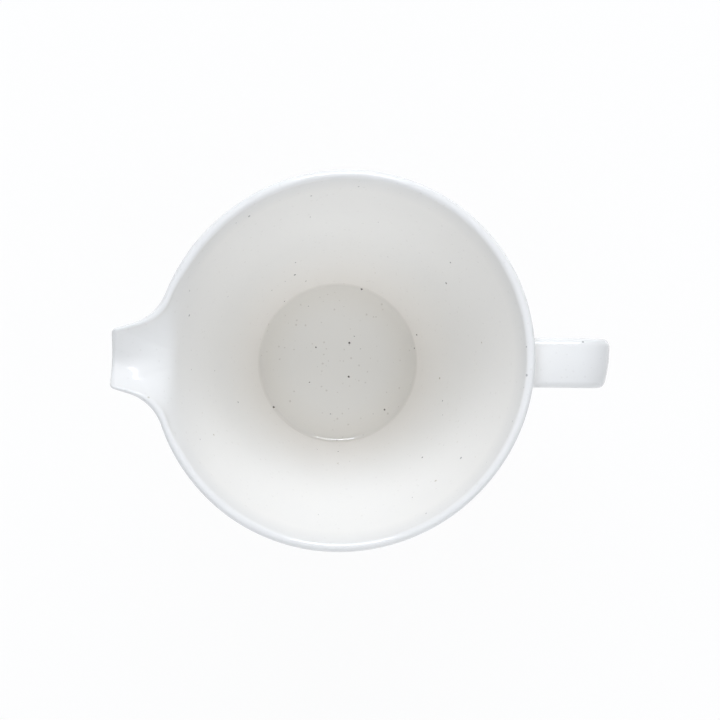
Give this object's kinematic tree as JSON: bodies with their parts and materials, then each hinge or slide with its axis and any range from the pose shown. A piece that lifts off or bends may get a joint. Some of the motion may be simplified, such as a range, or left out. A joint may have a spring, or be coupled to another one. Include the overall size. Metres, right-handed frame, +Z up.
{
  "type": "batter bowl",
  "caption": "Glazed stoneware mixing bowl with a conical wall, a flared pouring spout on one side and a strap handle opposite.",
  "frame": {"origin": "on the bowl's axis, at the foot ring's standing face", "axes": "+Z up, +X from the bowl's axis towards the handle, so the spout points to -X"},
  "size_m": [0.2505, 0.19, 0.12],
  "materials": {
    "glaze": "gloss",
    "bare_clay": "matte"
  },
  "bodies": {
    "root": {"bowl_body": "glaze", "foot_ring": "bare_clay", "spout": "glaze", "handle": "glaze", "upper_coil": "glaze", "lower_coil": "glaze"}
  },
  "joints": []
}
